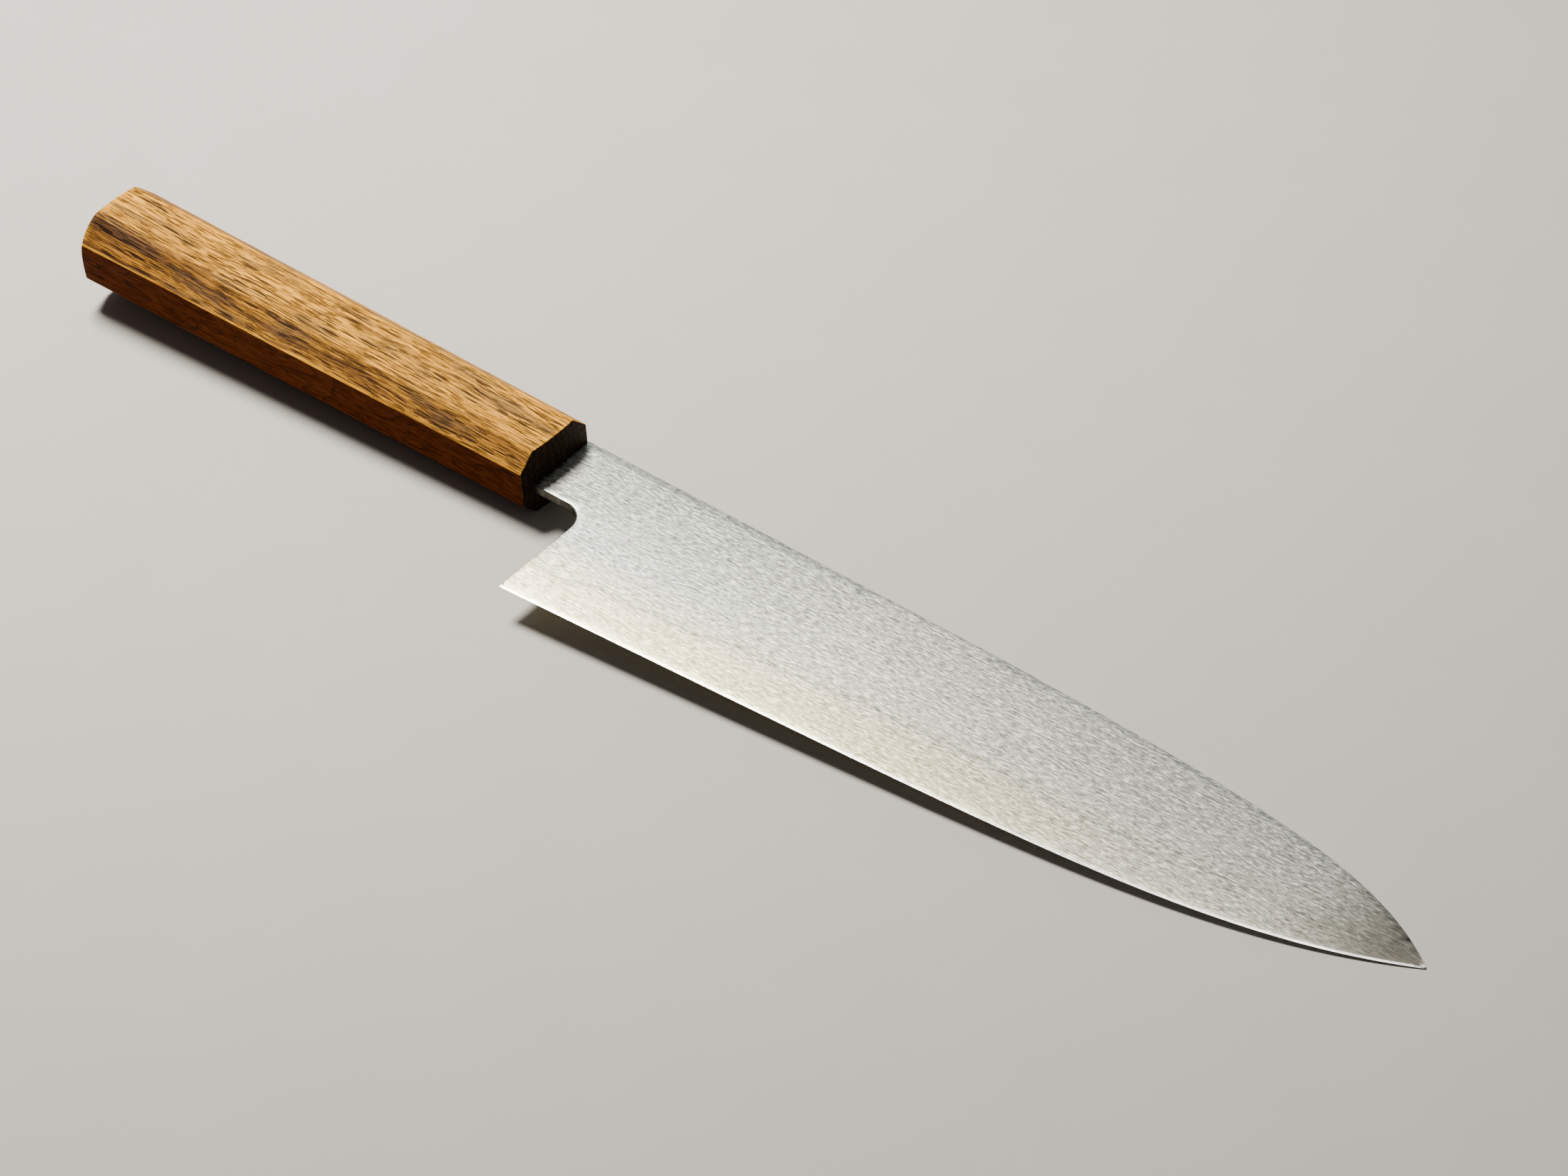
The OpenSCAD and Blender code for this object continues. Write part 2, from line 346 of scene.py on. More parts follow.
class NodeBench:
    """Short words for placing and joining shader nodes in one material or group."""

    def __init__(self, tree):
        self.tree = tree

    def add(self, kind, settings=None, **inputs):
        node = self.tree.nodes.new(kind)
        for key, value in (settings or {}).items():
            setattr(node, key, value)
        for key, value in inputs.items():
            self.feed(node, key.replace("_", " "), value)
        return node

    def feed(self, node, socket, value):
        target = node.inputs[int(socket)] if socket.isdigit() else node.inputs[socket]
        if isinstance(value, bpy.types.NodeSocket):
            self.tree.links.new(value, target)
        else:
            target.default_value = value

    def math(self, operation, a, b=0.0, c=0.0, clamp=False):
        node = self.add("ShaderNodeMath", {"operation": operation, "use_clamp": clamp})
        for k, value in enumerate((a, b, c)):
            self.feed(node, str(k), value)
        return node.outputs[0]

    def ramp(self, value, stops, smooth=False):
        """Maps a value through colour stops, each (place, grey or colour)."""
        node = self.add("ShaderNodeValToRGB")
        if smooth:
            node.color_ramp.interpolation = "EASE"
        points = node.color_ramp.elements
        while len(points) < len(stops):
            points.new(0.5)
        for point, (place, shade) in zip(points, stops):
            point.position = place
            point.color = (*shade, 1) if isinstance(shade, tuple) else (shade, shade, shade, 1)
        self.feed(node, "Fac", value)
        return node.outputs["Color"]

    def mix(self, factor, a, b, blend="MIX"):
        node = self.add("ShaderNodeMix", {"data_type": "RGBA", "blend_type": blend})
        self.feed(node, "0", factor)
        self.feed(node, "6", a)
        self.feed(node, "7", b)
        return node.outputs[2]

    def noise(self, vector, scale, detail=2.0, rough=0.5):
        node = self.add("ShaderNodeTexNoise", Vector=vector, Scale=scale, Detail=detail,
                        Roughness=rough)
        return node.outputs["Fac"]

    def stretched(self, vector, x, y, z, shift=(0.0, 0.0, 0.0)):
        """The place on the knife counted in units of x, y and z millimetres."""
        node = self.add("ShaderNodeMapping", Vector=vector, Scale=(1 / x, 1 / y, 1 / z),
                        Location=shift)
        return node.outputs["Vector"]


def new_group(name, inputs, outputs):
    """Shader group with named sockets: inputs are (name, kind, default)."""
    tree = bpy.data.node_groups.new(name, "ShaderNodeTree")
    for label, kind, default in inputs:
        socket = tree.interface.new_socket(label, in_out="INPUT", socket_type=kind)
        if default is not None:
            socket.default_value = default
    for label, kind in outputs:
        tree.interface.new_socket(label, in_out="OUTPUT", socket_type=kind)
    bench = NodeBench(tree)
    return bench, bench.add("NodeGroupInput"), bench.add("NodeGroupOutput")


def satin_group():
    """Fine scratches of a hand-rubbed satin finish, all along the blade and a little crossed."""
    g, given, made = new_group("satin_scratches", [
        ("Place", "NodeSocketVector", None),
        ("Length", "NodeSocketFloat", 1.4),
        ("Width", "NodeSocketFloat", 0.24),
    ], [("Scratches", "NodeSocketFloat"), ("Cloud", "NodeSocketFloat"),
        ("Height", "NodeSocketFloat")])
    x, y, _ = g.add("ShaderNodeSeparateXYZ", Vector=given.outputs["Place"]).outputs
    along = g.math("DIVIDE", x, given.outputs["Length"])

    def scratches(slope, length, width, layer):
        slanted = g.math("MULTIPLY_ADD", x, slope, y)
        across = g.math("DIVIDE", g.math("DIVIDE", slanted, given.outputs["Width"]), width)
        stretched = g.add("ShaderNodeCombineXYZ", X=g.math("DIVIDE", along, length), Y=across,
                          Z=layer)
        return g.noise(stretched.outputs[0], 1.0, 2.0, 0.6)

    fine = scratches(0.035, 1.0, 1.0, 0.0)
    coarse = scratches(-0.05, 1.8, 2.3, 7.0)
    drawn = scratches(0.0, 12.0, 1.3, 13.0)
    height = g.math("MULTIPLY_ADD", fine, 0.38, g.math("MULTIPLY", coarse, 0.42))
    height = g.math("MULTIPLY_ADD", drawn, 0.20, height)
    patches = g.noise(g.stretched(given.outputs["Place"], 11.0, 3.4, 9.0), 1.0, 4.0, 0.6)
    g.feed(made, "Scratches", g.ramp(height, [(0.38, 0.0), (0.52, 0.36), (0.64, 1.0)]))
    g.feed(made, "Cloud", g.ramp(patches, [(0.3, 0.0), (0.7, 1.0)], smooth=True))
    g.feed(made, "Height", height)
    return g.tree


SATIN = satin_group()


def place_on_knife(m):
    """The place on the knife in millimetres, which each point of the mesh keeps."""
    return m.add("ShaderNodeAttribute", {"attribute_name": "knife_mm"}).outputs["Vector"]


def blade_zones_group():
    """Masks for the steel's colour: the seam of the weld, a painted warm highlight on the lower
    part of the faces, the flat part near the heel, painted shade on the walls of the notch and on
    the last part of the tip, and the honed bevel with a painted highlight that grows towards the
    tip."""
    g, given, made = new_group("blade_zones", [("Place", "NodeSocketVector", None)], [
        ("Seam", "NodeSocketFloat"), ("Low", "NodeSocketFloat"), ("Flat", "NodeSocketFloat"),
        ("Wall", "NodeSocketFloat"), ("Tip", "NodeSocketFloat"), ("Honed", "NodeSocketFloat")])
    above_edge = g.add("ShaderNodeAttribute", {"attribute_name": "above_edge"}).outputs["Fac"]
    above_weld = g.add("ShaderNodeAttribute", {"attribute_name": "above_weld"}).outputs["Fac"]
    x = g.add("ShaderNodeSeparateXYZ", Vector=given.outputs["Place"]).outputs[0]
    along = g.math("DIVIDE", x, EDGE_LENGTH)
    seam = g.ramp(g.math("MULTIPLY_ADD", above_weld, 0.25, 0.5),
                  [(0.44, 0.0), (0.5, 1.0), (0.56, 0.35), (0.9, 0.0)])
    # Lower faces, strongest near the heel: mask for a painted warm highlight.
    low = g.ramp(g.math("DIVIDE", above_edge, 30.0), [(0.2, 1.0), (0.75, 0.0)], smooth=True)
    low = g.math("MULTIPLY", low, g.ramp(along, [(0.5, 1.0), (0.85, 0.25)], smooth=True))
    flat = g.ramp(along, [(0.15, 1.0), (0.45, 0.0)], smooth=True)
    flat = g.math("MULTIPLY", flat, g.math("MULTIPLY_ADD", low, -1.0, 1.0))
    facing = g.add("ShaderNodeSeparateXYZ",
                   Vector=g.add("ShaderNodeNewGeometry").outputs["Normal"]).outputs
    # Walls of the notch, picked by their normal: mask for painted shade.
    wall = g.ramp(g.math("ABSOLUTE", facing[2]), [(0.35, 1.0), (0.75, 0.0)], smooth=True)
    wall = g.math("MULTIPLY", wall, g.ramp(facing[1], [(0.0, 1.0), (0.3, 0.0)]))
    # Last part of the tip: mask for painted shade.
    tip = g.add("ShaderNodeMapRange", {"interpolation_type": "SMOOTHSTEP"}, Value=x,
                From_Min=216.0, From_Max=250.0).outputs[0]
    # Honed bevel: paler polished steel, plus a painted highlight that grows towards the tip.
    honed_highlight = g.ramp(g.math("DIVIDE", above_edge, BEVEL_W), [(0.6, 1.0), (0.85, 0.0)])
    honed_highlight = g.math("MULTIPLY", honed_highlight, g.ramp(along, [(0.2, 0.35), (0.6, 1.0)], smooth=True))
    for label, value in (("Seam", seam), ("Low", low), ("Flat", flat), ("Wall", wall),
                         ("Tip", tip), ("Honed", honed_highlight)):
        g.feed(made, label, value)
    return g.tree


ZONES = blade_zones_group()


def steel_material(name, dark, light, cloudy, rough):
    """Satin steel: scratches vary its colour and gloss, and stand in its surface."""
    material = bpy.data.materials.new(name)
    material.use_nodes = True
    m = NodeBench(material.node_tree)
    bsdf = material.node_tree.nodes["Principled BSDF"]
    place = place_on_knife(m)
    satin = m.add("ShaderNodeGroup", {"node_tree": SATIN}, Place=place).outputs
    zones = m.add("ShaderNodeGroup", {"node_tree": ZONES}, Place=place).outputs
    base = m.mix(satin["Scratches"], (*dark, 1), (*light, 1))
    base = m.mix(m.math("MULTIPLY", satin["Cloud"], 0.2), base, (*cloudy, 1))
    base = m.mix(m.math("MULTIPLY", zones["Seam"], 0.85), base, (0.55, 0.55, 0.54, 1), "MULTIPLY")
    # Painted warm highlight on the lower faces.
    base = m.mix(zones["Low"], base, (1.10, 1.0, 0.76, 1), "MULTIPLY")
    base = m.mix(zones["Flat"], base, (0.83, 0.84, 0.85, 1), "MULTIPLY")
    # Painted shade on the walls of the notch.
    base = m.mix(zones["Wall"], base, (0.22, 0.20, 0.18, 1), "MULTIPLY")
    # Painted shade on the last part of the tip.
    base = m.mix(m.math("MULTIPLY", zones["Tip"], 0.85), base, (0.10, 0.09, 0.075, 1))
    # Honed bevel: real polish, glossier, and a painted highlight in its colour.
    honed_highlight = m.math("MULTIPLY", zones["Honed"], m.math("MULTIPLY_ADD", satin["Cloud"], -0.25, 1.0))
    m.feed(bsdf, "Base Color", m.mix(m.math("MULTIPLY", honed_highlight, 0.9), base, (1.0, 0.99, 0.95, 1)))
    gloss = m.math("MULTIPLY_ADD", satin["Scratches"], 0.10, rough - 0.05)
    gloss = m.math("MULTIPLY_ADD", honed_highlight, -0.15, gloss)
    m.feed(bsdf, "Roughness", m.math("MULTIPLY_ADD", satin["Cloud"], 0.02, gloss))
    m.feed(bsdf, "Metallic", 1.0)
    bump = m.add("ShaderNodeBump", Strength=1.0, Distance=0.00003, Height=satin["Height"])
    m.feed(bsdf, "Normal", bump.outputs["Normal"])
    return material


# ---- Hard core ---------------------------------------------------------------------------------
# The middle layer is the hard carbon steel. It alone comes out below the weld line to form the
# edge, shows as a thin stripe in the spine and the notch, and runs on through the tang.

core = layer_solid("core_steel_blade", triangles, -core_half_t, core_half_t)
core.data.materials.append(steel_material(
    "core_satin", dark=(0.14, 0.137, 0.116), light=(0.99, 0.98, 0.88),
    cloudy=(0.58, 0.57, 0.50), rough=0.38))
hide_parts("core_steel")
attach(core, "root")


# ---- Cladding layers ---------------------------------------------------------------------------
# A softer steel covers the core on both faces down to the weld line, and is rubbed to a satin
# finish. Both layers end together with the core at the spine, the notch and the tang.

middles = corners[triangles].mean(axis=1)
clad_triangles = triangles[middles[:, 1] > lamination_at(np.maximum(middles[:, 0], HEEL_X))]
cladding_satin = steel_material(
    "cladding_satin", dark=(0.125, 0.13, 0.115), light=(0.99, 0.99, 0.88),
    cloudy=(0.42, 0.43, 0.37), rough=0.38)
for face_name, low, high in (("upper", core_half_t, blank_half_t),
                             ("lower", -blank_half_t, -core_half_t)):
    cladding = layer_solid("cladding_" + face_name + "_face", clad_triangles, low, high)
    cladding.data.materials.append(cladding_satin)
    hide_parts("cladding_" + face_name)
    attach(cladding, "root")


# ---- Handle ------------------------------------------------------------------------------------
# One length of open-grained hardwood, planed to a tapered octagon, its ends domed with a file,
# the ridges eased by sanding and by use. It is bored from the front for the dowel.

HANDLE_LENGTH = 145.5
FRONT_H = 23.3
FRONT_CUT = 4.35
BUTT_H = 25.8
BUTT_T = 21.7
BUTT_CUT = 5.7
FRONT_DOME_R = 80.0
BUTT_DOME_R = 150.0
BUTT_RIM_R = 4.5
BUTT_RIM_FROM = 11.9
BUTT_RIM_REACH = 0.95
BUTT_BULGE = 0.3
BUTT_BULGE_LIMIT = 0.85
BUTT_BULGE_FADES_OVER = 10.0
DOMING_REACH = 9.0
EASED_R = 0.35
RIDGE_R = 0.4
BUTT_RIDGE_R = 0.6
RUBBED_W = 0.7
HAND_PLANED = 0.10
PLANED_OFF = 0.08
BORE_R = 6.5
BORE_DEPTH = 114.0
FRONT_APEX_X = FRONT_DOME_R - math.sqrt(FRONT_DOME_R ** 2 - (FRONT_T / 2) ** 2)
BUTT_APEX_X = FRONT_APEX_X + 0.03


def along_handle(front, butt, x):
    return front - (butt - front) * x / HANDLE_LENGTH


def side_distances(x, inset):
    """How far the eight planed sides stand from the axis, from the spine side round by the top."""
    half_h = along_handle(FRONT_H, BUTT_H, x) / 2
    half_t = along_handle(FRONT_T, BUTT_T, x) / 2
    corner = (half_h + half_t - along_handle(FRONT_CUT, BUTT_CUT, x)) / math.sqrt(2)
    even = [half_h, corner, half_t, corner] * 2
    by_hand = [noise.noise(Vector((x / 13.0, 7.3 * k, 0.5))) * HAND_PLANED - PLANED_OFF
               for k in range(8)]
    return [d - inset + (h if k % 2 else h * 0.4) for k, (d, h) in enumerate(zip(even, by_hand))]


def octagon_ring(x, inset, ridge_r):
    """Points round the handle's section at x, with its ridges eased. Each has its nearness to a
    ridge, from 0 to 1, and its place on its planed side, from 0 at the ridges to 1 midway."""
    distances = side_distances(x, inset + ridge_r)
    turn = math.radians(45)
    centres = []
    for k in range(8):
        here, following = distances[k], distances[(k + 1) % 8]
        along = (following - here * math.cos(turn)) / math.sin(turn)
        outward = Vector((math.cos(k * turn), math.sin(k * turn)))
        sideways = Vector((-outward.y, outward.x))
        centres.append(outward * here + sideways * along)
    ring, ridge, midway = [], [], []
    for k, centre in enumerate(centres):
        for angle in np.linspace(k * turn, (k + 1) * turn, 5):
            ring.append(centre + ridge_r * Vector((math.cos(angle), math.sin(angle))))
            ridge.append(1.0)
            midway.append(0.0)
        start = ring[-1].copy()
        face = Vector((math.cos((k + 1) * turn), math.sin((k + 1) * turn)))
        stop = centres[(k + 1) % 8] + ridge_r * face
        for t in np.linspace(0, 1, 11)[1:-1]:
            ring.append(start.lerp(stop, t))
            ridge.append(max(0.0, 1 - min(t, 1 - t) * (stop - start).length / RUBBED_W))
            midway.append(4 * t * (1 - t))
    return ring, ridge, midway


def dome_drop(radius, distance):
    return radius - math.sqrt(radius ** 2 - distance ** 2)


def handle_point(x, y, z, midway):
    """Bends the square-ended form to its domed front and its butt, whose rim is rounded off and
    bulges a little in the middle of each upper side."""
    spread = math.hypot(y, z)
    at_front = max(0.0, 1 + x / DOMING_REACH)
    at_butt = max(0.0, 1 - (x + HANDLE_LENGTH) / DOMING_REACH)
    over_rim = min(max(spread - BUTT_RIM_FROM, 0.0), BUTT_RIM_R * BUTT_RIM_REACH)
    butt_drop = dome_drop(BUTT_DOME_R, spread) + dome_drop(BUTT_RIM_R, over_rim)
    upper = float(clamp01(0.5 + z / BUTT_BULGE_FADES_OVER))
    butt_drop -= min(BUTT_BULGE * midway * upper, BUTT_BULGE_LIMIT * butt_drop)
    front_drop = dome_drop(FRONT_DOME_R, spread)
    return x + (FRONT_APEX_X - front_drop) * at_front + (BUTT_APEX_X + butt_drop) * at_butt, y, z


def handle_mesh():
    """Closed shell of rings: down the bore, over the front face, along the sides, over the butt."""
    rings, ridge = [], []

    def add_ring(x, section, nearness, midway):
        rings.append([handle_point(x, *p, m) for p, m in zip(section, midway)])
        ridge.append(nearness)

    rim = octagon_ring(-EASED_R, EASED_R, RIDGE_R)[0]
    plain = [0.0] * len(rim)
    bore_axis = Vector((0.0, BLADE_OFFSET))
    mouth = [bore_axis + (p - bore_axis).normalized() * BORE_R for p in rim]
    for x in (-BORE_DEPTH, -60.0, -20.0, -10.0):
        rings.append([(x, *p) for p in mouth])
        ridge.append(plain)
    add_ring(0.0, mouth, plain, plain)
    for t in (0.12, 0.3, 0.5, 0.7, 0.86, 0.95):
        add_ring(0.0, [m.lerp(r, t) for m, r in zip(mouth, rim)], plain, plain)
    for turn in np.linspace(0, math.pi / 2, 5):
        x = -EASED_R * (1 - math.cos(turn))
        section, _, midway = octagon_ring(x, EASED_R * (1 - math.sin(turn)), RIDGE_R)
        add_ring(x, section, [1.0] * len(section), midway)
    for x in [-1.0, -2.0, *np.arange(-4.0, 3.5 - HANDLE_LENGTH, -2.0), 2.2 - HANDLE_LENGTH]:
        add_ring(x, *octagon_ring(x, 0.0, RIDGE_R))
    for turn in np.linspace(0, math.pi / 2, 6):
        x = EASED_R * (1 - math.sin(turn)) - HANDLE_LENGTH
        section, _, midway = octagon_ring(x, EASED_R * (1 - math.cos(turn)), BUTT_RIDGE_R)
        add_ring(x, section, [1.0] * len(section), midway)
    for t in (0.97, 0.93, 0.88, 0.8, 0.7, 0.55, 0.4, 0.22):
        add_ring(-HANDLE_LENGTH, [p * t for p in section], plain, [t ** 8 * m for m in midway])
    size = len(rim)
    turns = [math.atan2(section[0].y, section[0].x) + math.tau * k / size for k in range(size)]
    add_ring(-HANDLE_LENGTH, [Vector((math.cos(a), math.sin(a))) for a in turns], plain, plain)
    faces = []
    for i in range(len(rings) - 1):
        for j in range(size):
            k = (j + 1) % size
            faces.append((i * size + j, (i + 1) * size + j, (i + 1) * size + k, i * size + k))
    faces.append(tuple(range(size)))
    faces.append(tuple(reversed(range((len(rings) - 1) * size, len(rings) * size))))
    made = finished_mesh("handle_wood", [p for ring in rings for p in ring], faces, sharp_angle=38)
    near_ridge = made.data.attributes.new("ridge", "FLOAT", "POINT")
    near_ridge.data.foreach_set("value", [n for ring in ridge for n in ring])
    return made


def wood_group():
    """Ring-porous hardwood in the round: growth rings, and fibres and pores that run along x."""
    g, given, made = new_group("hardwood_grain", [
        ("Place", "NodeSocketVector", None),
        ("Ring Spacing", "NodeSocketFloat", 1.9),
        ("Pore Length", "NodeSocketFloat", 8.0),
        ("Pore Width", "NodeSocketFloat", 0.43),
    ], [("Tone", "NodeSocketFloat"), ("Pores", "NodeSocketFloat"),
        ("Patches", "NodeSocketFloat"), ("Figure", "NodeSocketFloat"),
        ("Height", "NodeSocketFloat")])
    place = given.outputs["Place"]
    x, y, z = g.add("ShaderNodeSeparateXYZ", Vector=place).outputs
    sway = g.math("MULTIPLY_ADD", g.noise(g.stretched(place, 42.0, 15.0, 15.0), 1.0, 2.0),
                  6.0, -3.0)
    tilted = g.math("MULTIPLY_ADD", x, 0.018, y)
    y_grain = g.math("ADD", tilted, g.math("MULTIPLY", sway, 0.45))
    z_grain = g.math("ADD", z, g.math("MULTIPLY", sway, 0.3))
    grain = g.add("ShaderNodeCombineXYZ", X=x, Y=y_grain, Z=z_grain).outputs[0]
    from_pith = g.math("ADD", g.math("ADD", tilted, 47.0), sway)
    beside = g.math("MULTIPLY_ADD", sway, 0.8, g.math("SUBTRACT", z, 4.0))
    radius = g.math("SQRT", g.math("ADD", g.math("MULTIPLY", from_pith, from_pith),
                                   g.math("MULTIPLY", beside, beside)))
    phase = g.math("FRACT", g.math("DIVIDE", radius, given.outputs["Ring Spacing"]))
    rings = g.ramp(phase, [(0.0, 1.0), (0.16, 0.8), (0.5, 0.2), (0.92, 0.0), (1.0, 1.0)])
    width = given.outputs["Pore Width"]
    cells = g.add("ShaderNodeCombineXYZ", X=g.math("DIVIDE", x, given.outputs["Pore Length"]),
                  Y=g.math("DIVIDE", y_grain, width), Z=g.math("DIVIDE", z_grain, width))
    pore = g.add("ShaderNodeTexVoronoi", {"feature": "F1"}, Vector=cells.outputs[0], Scale=1.0,
                 Randomness=1.0).outputs["Distance"]
    band = g.math("ABSOLUTE", g.math("ADD", y_grain, 9.8))
    band = g.ramp(g.math("DIVIDE", band, 4.5), [(0.1, 1.0), (1.0, 0.0)], smooth=True)
    band = g.math("MULTIPLY", band, g.math("MULTIPLY_ADD", x, -0.0055, 0.75))
    crowd = g.noise(g.stretched(grain, 42.0, 1.5, 1.5, (3.0, 1.0, 5.0)), 1.0, 3.0)
    reach = g.math("MULTIPLY_ADD", crowd, 0.60, g.math("MULTIPLY_ADD", rings, 0.10, -0.020))
    reach = g.math("MULTIPLY_ADD", band, 0.05, reach)
    pores = g.math("MULTIPLY", g.math("SUBTRACT", reach, pore), 13.0, clamp=True)
    streaks = g.noise(g.stretched(grain, 6.0, 0.30, 0.30, (2.0, 6.0, 1.0)), 1.0, 2.0, 0.55)
    streaks = g.math("MULTIPLY_ADD", band, 0.02, streaks)
    streaks = g.ramp(streaks, [(0.54, 0.0), (0.60, 1.0)])
    pores = g.math("MAXIMUM", pores, g.math("MULTIPLY", streaks, 0.75))
    fine = g.noise(g.stretched(grain, 38.0, 0.38, 0.38), 1.0, 3.0, 0.6)
    wide = g.noise(g.stretched(grain, 90.0, 1.3, 1.3, (1.0, 4.0, 2.0)), 1.0, 3.0, 0.6)
    lines = g.math("MULTIPLY_ADD", fine, 0.6, g.math("MULTIPLY", wide, 0.4))
    lines = g.ramp(lines, [(0.40, 0.0), (0.6, 1.0)])
    tone = g.math("MULTIPLY_ADD", rings, -0.28, g.math("MULTIPLY_ADD", lines, 0.85, 0.15))
    tone = g.math("MULTIPLY_ADD", band, -0.30, tone, clamp=True)
    patchy = g.noise(g.stretched(grain, 24.0, 3.8, 3.8, (9.0, 2.0, 4.0)), 1.0, 3.0, 0.6)
    patchy = g.math("MULTIPLY_ADD", band, 0.035, patchy)
    figure = g.noise(g.stretched(place, 44.0, 11.0, 11.0, (4.0, 4.0, 4.0)), 1.0, 2.0, 0.6)
    figure = g.math("FRACT", g.math("MULTIPLY", figure, 11.0))
    figure = g.ramp(figure, [(0.0, 0.0), (0.75, 0.25), (0.93, 1.0), (1.0, 0.0)])
    deep = g.math("MULTIPLY_ADD", pores, -1.0, g.math("MULTIPLY", lines, 0.25))
    for label, value in (("Tone", tone), ("Pores", pores),
                         ("Patches", g.ramp(patchy, [(0.49, 0.0), (0.64, 1.0)], smooth=True)),
                         ("Figure", figure), ("Height", deep)):
        g.feed(made, label, value)
    return g.tree


HARDWOOD = wood_group()


def planed_faces_group():
    """Masks of the wood's faces by the way they face: the sloped corners for painted shade, the
    same corners towards the butt, the sides and underside for painted shade, the end grain, and the
    upper ridges for wear with a painted highlight."""
    g, given, made = new_group("planed_faces", [("Place", "NodeSocketVector", None)], [
        ("Corner", "NodeSocketFloat"), ("Held", "NodeSocketFloat"),
        ("Flat Sawn", "NodeSocketFloat"), ("End", "NodeSocketFloat"),
        ("Rubbed", "NodeSocketFloat")])
    facing = g.add("ShaderNodeSeparateXYZ",
                   Vector=g.add("ShaderNodeNewGeometry").outputs["Normal"]).outputs
    upright = g.math("ABSOLUTE", facing[1])
    # Sloped corners, picked by their normal: mask for painted shade.
    corner = g.ramp(upright, [(0.45, 0.0), (0.62, 1.0)], smooth=True)
    x = g.add("ShaderNodeSeparateXYZ", Vector=given.outputs["Place"]).outputs[0]
    from_front = g.math("DIVIDE", x, -HANDLE_LENGTH)
    # The corners, darker towards the butt.
    toward_butt = g.ramp(from_front, [(0.6, 0.0), (0.95, 1.0)], smooth=True)
    # Sides and underside, picked by their normal: mask for painted shade.
    sideways = g.math("MAXIMUM", upright, g.math("MULTIPLY_ADD", facing[2], -1.0, 0.5))
    side_shade_mask = g.ramp(sideways, [(0.76, 0.0), (0.88, 1.0)], smooth=True)
    end = g.ramp(g.math("ABSOLUTE", facing[0]), [(0.45, 0.0), (0.85, 1.0)], smooth=True)
    # Faces that look up: mask for the ridges' wear with a painted highlight.
    for label, value in (("Corner", corner), ("Held", g.math("MULTIPLY", corner, toward_butt)),
                         ("Flat Sawn", side_shade_mask), ("End", end),
                         ("Rubbed", g.ramp(facing[2], [(0.2, 0.0), (0.5, 1.0)]))):
        g.feed(made, label, value)
    return g.tree


PLANED_FACES = planed_faces_group()


def wood_material(name, pale, deep, pore_shade, grey, side_shade, place_of):
    """Matt, lightly oiled wood. Its sides and underside carry a dark reddish painted shade and its
    sloped corners a cooler painted shade, darker towards the butt; its end grain soaks up the oil
    and is darkest, and its upper ridges are worn pale, with a painted highlight where they face up."""
    material = bpy.data.materials.new(name)
    material.use_nodes = True
    m = NodeBench(material.node_tree)
    bsdf = material.node_tree.nodes["Principled BSDF"]
    place = place_of(m)
    wood = m.add("ShaderNodeGroup", {"node_tree": HARDWOOD}, Place=place).outputs
    faces = m.add("ShaderNodeGroup", {"node_tree": PLANED_FACES}, Place=place).outputs
    colour = m.mix(wood["Tone"], (*deep, 1), (*pale, 1))
    colour = m.mix(m.math("MULTIPLY", wood["Patches"], 0.6), colour, (*grey, 1))
    colour = m.mix(m.math("MULTIPLY", wood["Pores"], 0.95), colour, (*pore_shade, 1))
    # Painted shade on the sloped corners: darker and cooler.
    colour = m.mix(faces["Corner"], colour, (0.86, 0.86, 1.30, 1), "MULTIPLY")
    # The corners darker towards the butt.
    colour = m.mix(faces["Held"], colour, (0.56, 0.52, 0.60, 1), "MULTIPLY")
    # Dark reddish painted shade on the sides and underside, with the grain's figure and pores in
    # it.
    side_shade_grain = m.mix(wood["Figure"], (*side_shade, 1), tuple(0.35 * c for c in side_shade) + (1,))
    side_shade_grain = m.mix(m.math("MULTIPLY", wood["Pores"], 0.45), side_shade_grain,
                      tuple(0.2 * c for c in side_shade) + (1,))
    colour = m.mix(m.math("MULTIPLY", faces["Flat Sawn"], 0.97), colour, side_shade_grain)
    soaked = m.mix(wood["Tone"], (0.016, 0.008, 0.004, 1), (0.072, 0.038, 0.019, 1))
    soaked = m.mix(wood["Pores"], soaked, (0.010, 0.006, 0.003, 1))
    colour = m.mix(faces["End"], colour, soaked)
    # Upper ridges: worn paler, with a painted highlight where they face up.
    ridge = m.add("ShaderNodeAttribute", {"attribute_name": "ridge"}).outputs["Fac"]
    worn_and_highlit = m.math("MULTIPLY", m.math("MULTIPLY", ridge, faces["Rubbed"]), m.math(
        "MULTIPLY", m.math("SUBTRACT", 1.0, faces["End"]), m.math("MULTIPLY", wood["Tone"], 0.55)))
    m.feed(bsdf, "Base Color", m.mix(worn_and_highlit, colour, (*pale, 1)))
    rough = m.math("MULTIPLY_ADD", wood["Pores"], 0.22, 0.60)
    m.feed(bsdf, "Roughness", m.math("MULTIPLY_ADD", wood["Tone"], -0.08, rough))
    m.feed(bsdf, "Specular IOR Level", m.math("MULTIPLY_ADD", faces["Flat Sawn"], -0.06, 0.08))
    bump = m.add("ShaderNodeBump", Strength=0.9, Distance=0.00018, Height=wood["Height"])
    m.feed(bsdf, "Normal", bump.outputs["Normal"])
    return material


handle = handle_mesh()
# The darkest reddish colour here paints shade on the handle's sides and underside.
handle.data.materials.append(wood_material(
    "handle_hardwood", pale=(0.98, 0.435, 0.022), deep=(0.23, 0.096, 0.013),
    pore_shade=(0.026, 0.012, 0.004), grey=(0.12, 0.074, 0.030), side_shade=(0.105, 0.0205, 0.002),
    place_of=place_on_knife))
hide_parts("handle_body")
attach(handle, "root")


# ---- Dowel and glue ----------------------------------------------------------------------------
# A slotted dowel of plainer wood fills the bore and grips the tang; resin fills what is left of
# the slot. Only the dowel's end grain shows, round the neck, in the handle's front face.

